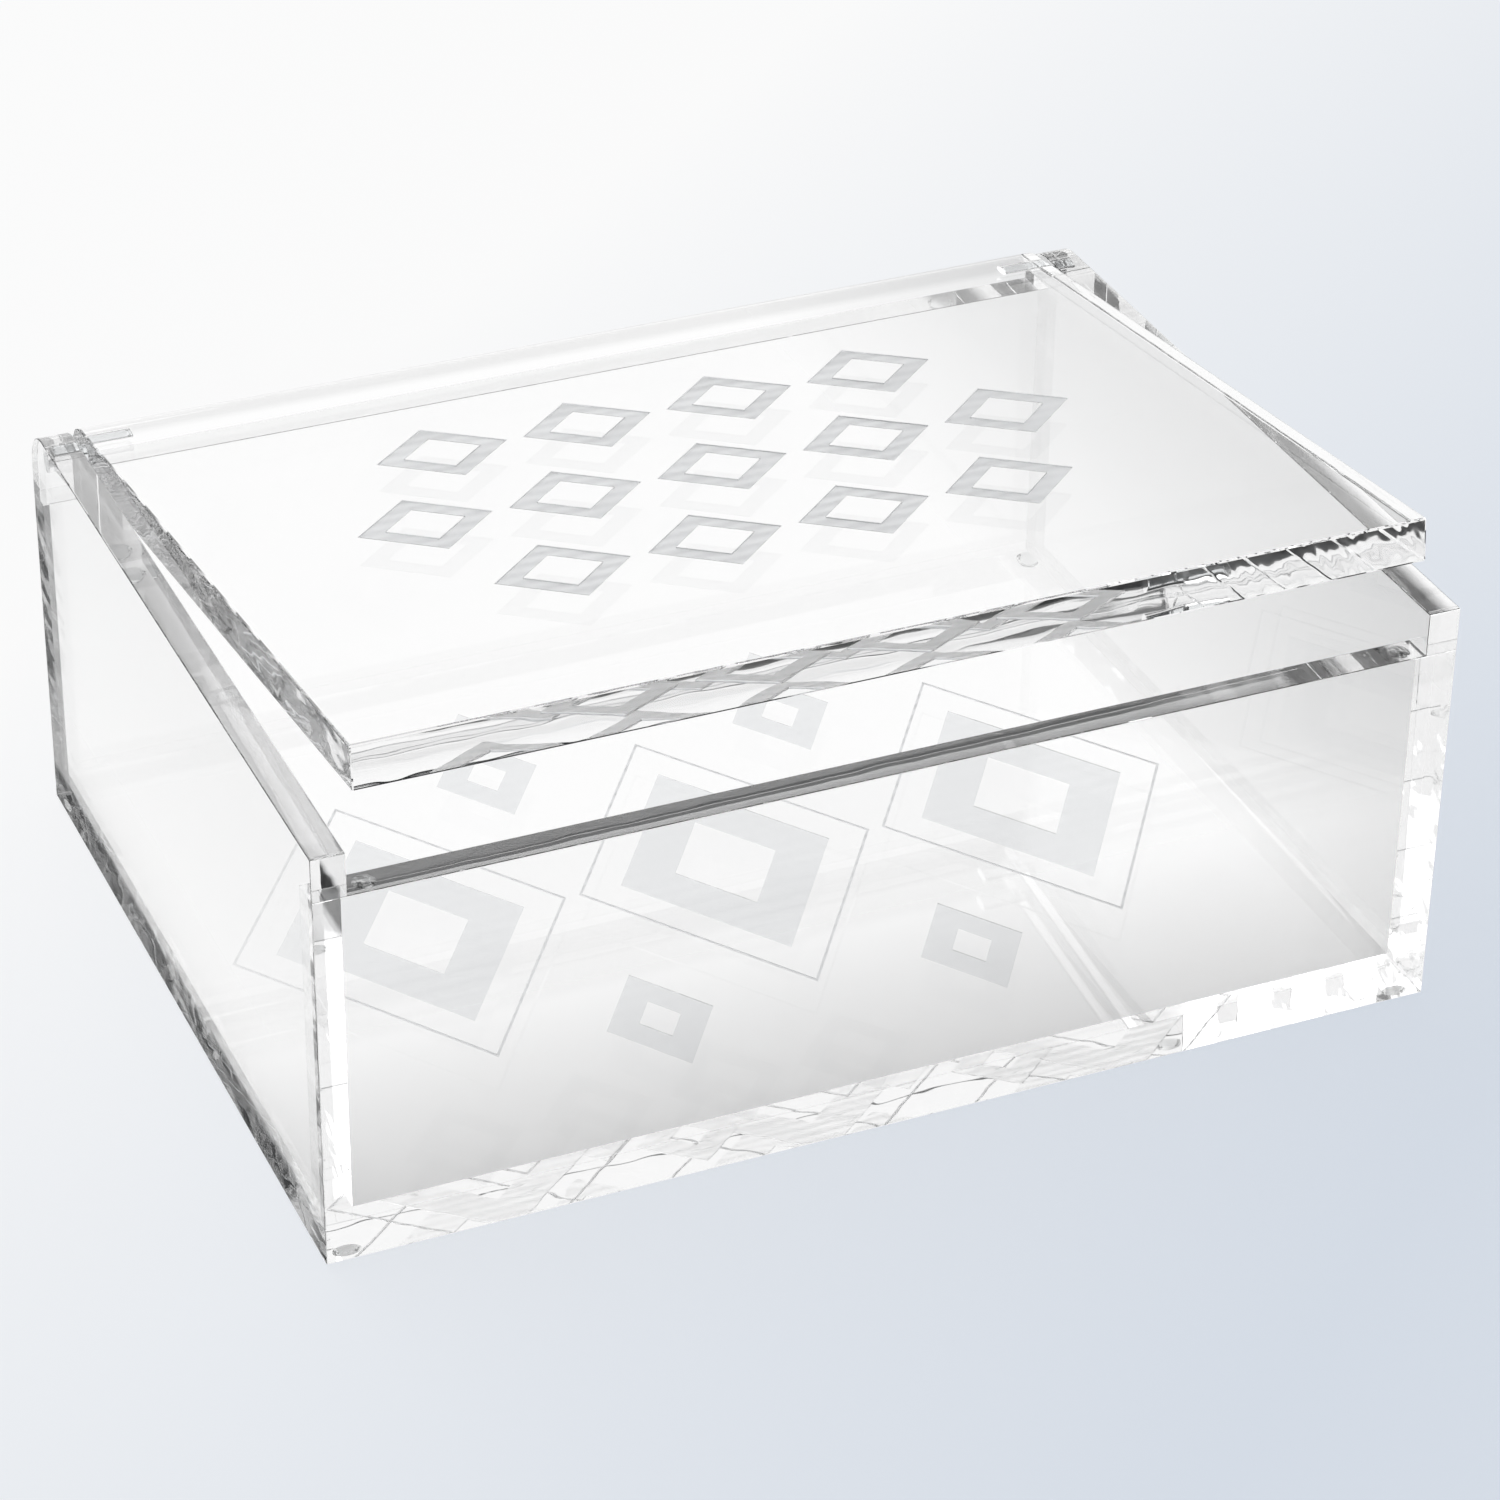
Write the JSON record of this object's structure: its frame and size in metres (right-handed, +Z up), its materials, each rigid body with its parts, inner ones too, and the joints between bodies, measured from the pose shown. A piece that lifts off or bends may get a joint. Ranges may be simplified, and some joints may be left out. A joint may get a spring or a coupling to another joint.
{
  "type": "acrylic storage box with hinged lid",
  "caption": "Rectangular clear acrylic box of thick cemented sheets, with a slab lid that turns on rods in the side walls and comes down on soft dots at the front.",
  "frame": {"origin": "on the table, under the middle of the box", "axes": "+Z up, front towards -Y, hinge towards +Y, width along X"},
  "size_m": [0.33, 0.248, 0.158],
  "materials": {
    "clear_acrylic": "polished clear cast acrylic",
    "engraved_acrylic": "polished clear cast acrylic with a frosted engraving",
    "acrylic_rod": "extruded clear acrylic rod",
    "clear_polyurethane": "soft clear polyurethane"
  },
  "bodies": {
    "box": {"base_plate": "clear_acrylic", "front_wall": "clear_acrylic", "back_wall": "clear_acrylic", "left_side_wall": "clear_acrylic", "right_side_wall": "clear_acrylic", "left_hinge_pin": "acrylic_rod", "right_hinge_pin": "acrylic_rod", "left_lid_bumper": "clear_polyurethane", "right_lid_bumper": "clear_polyurethane", "front_left_foot": "clear_polyurethane", "front_right_foot": "clear_polyurethane", "rear_left_foot": "clear_polyurethane", "rear_right_foot": "clear_polyurethane"},
    "lid": {"lid_panel": "engraved_acrylic"}
  },
  "joints": [
    {"name": "lid_hinge", "type": "hinge", "parent": "box", "child": "lid", "pos_m": [0, 0.109, 0.12335], "axis": [-1, 0, 0], "range_deg": [-7, 204]}
  ]
}
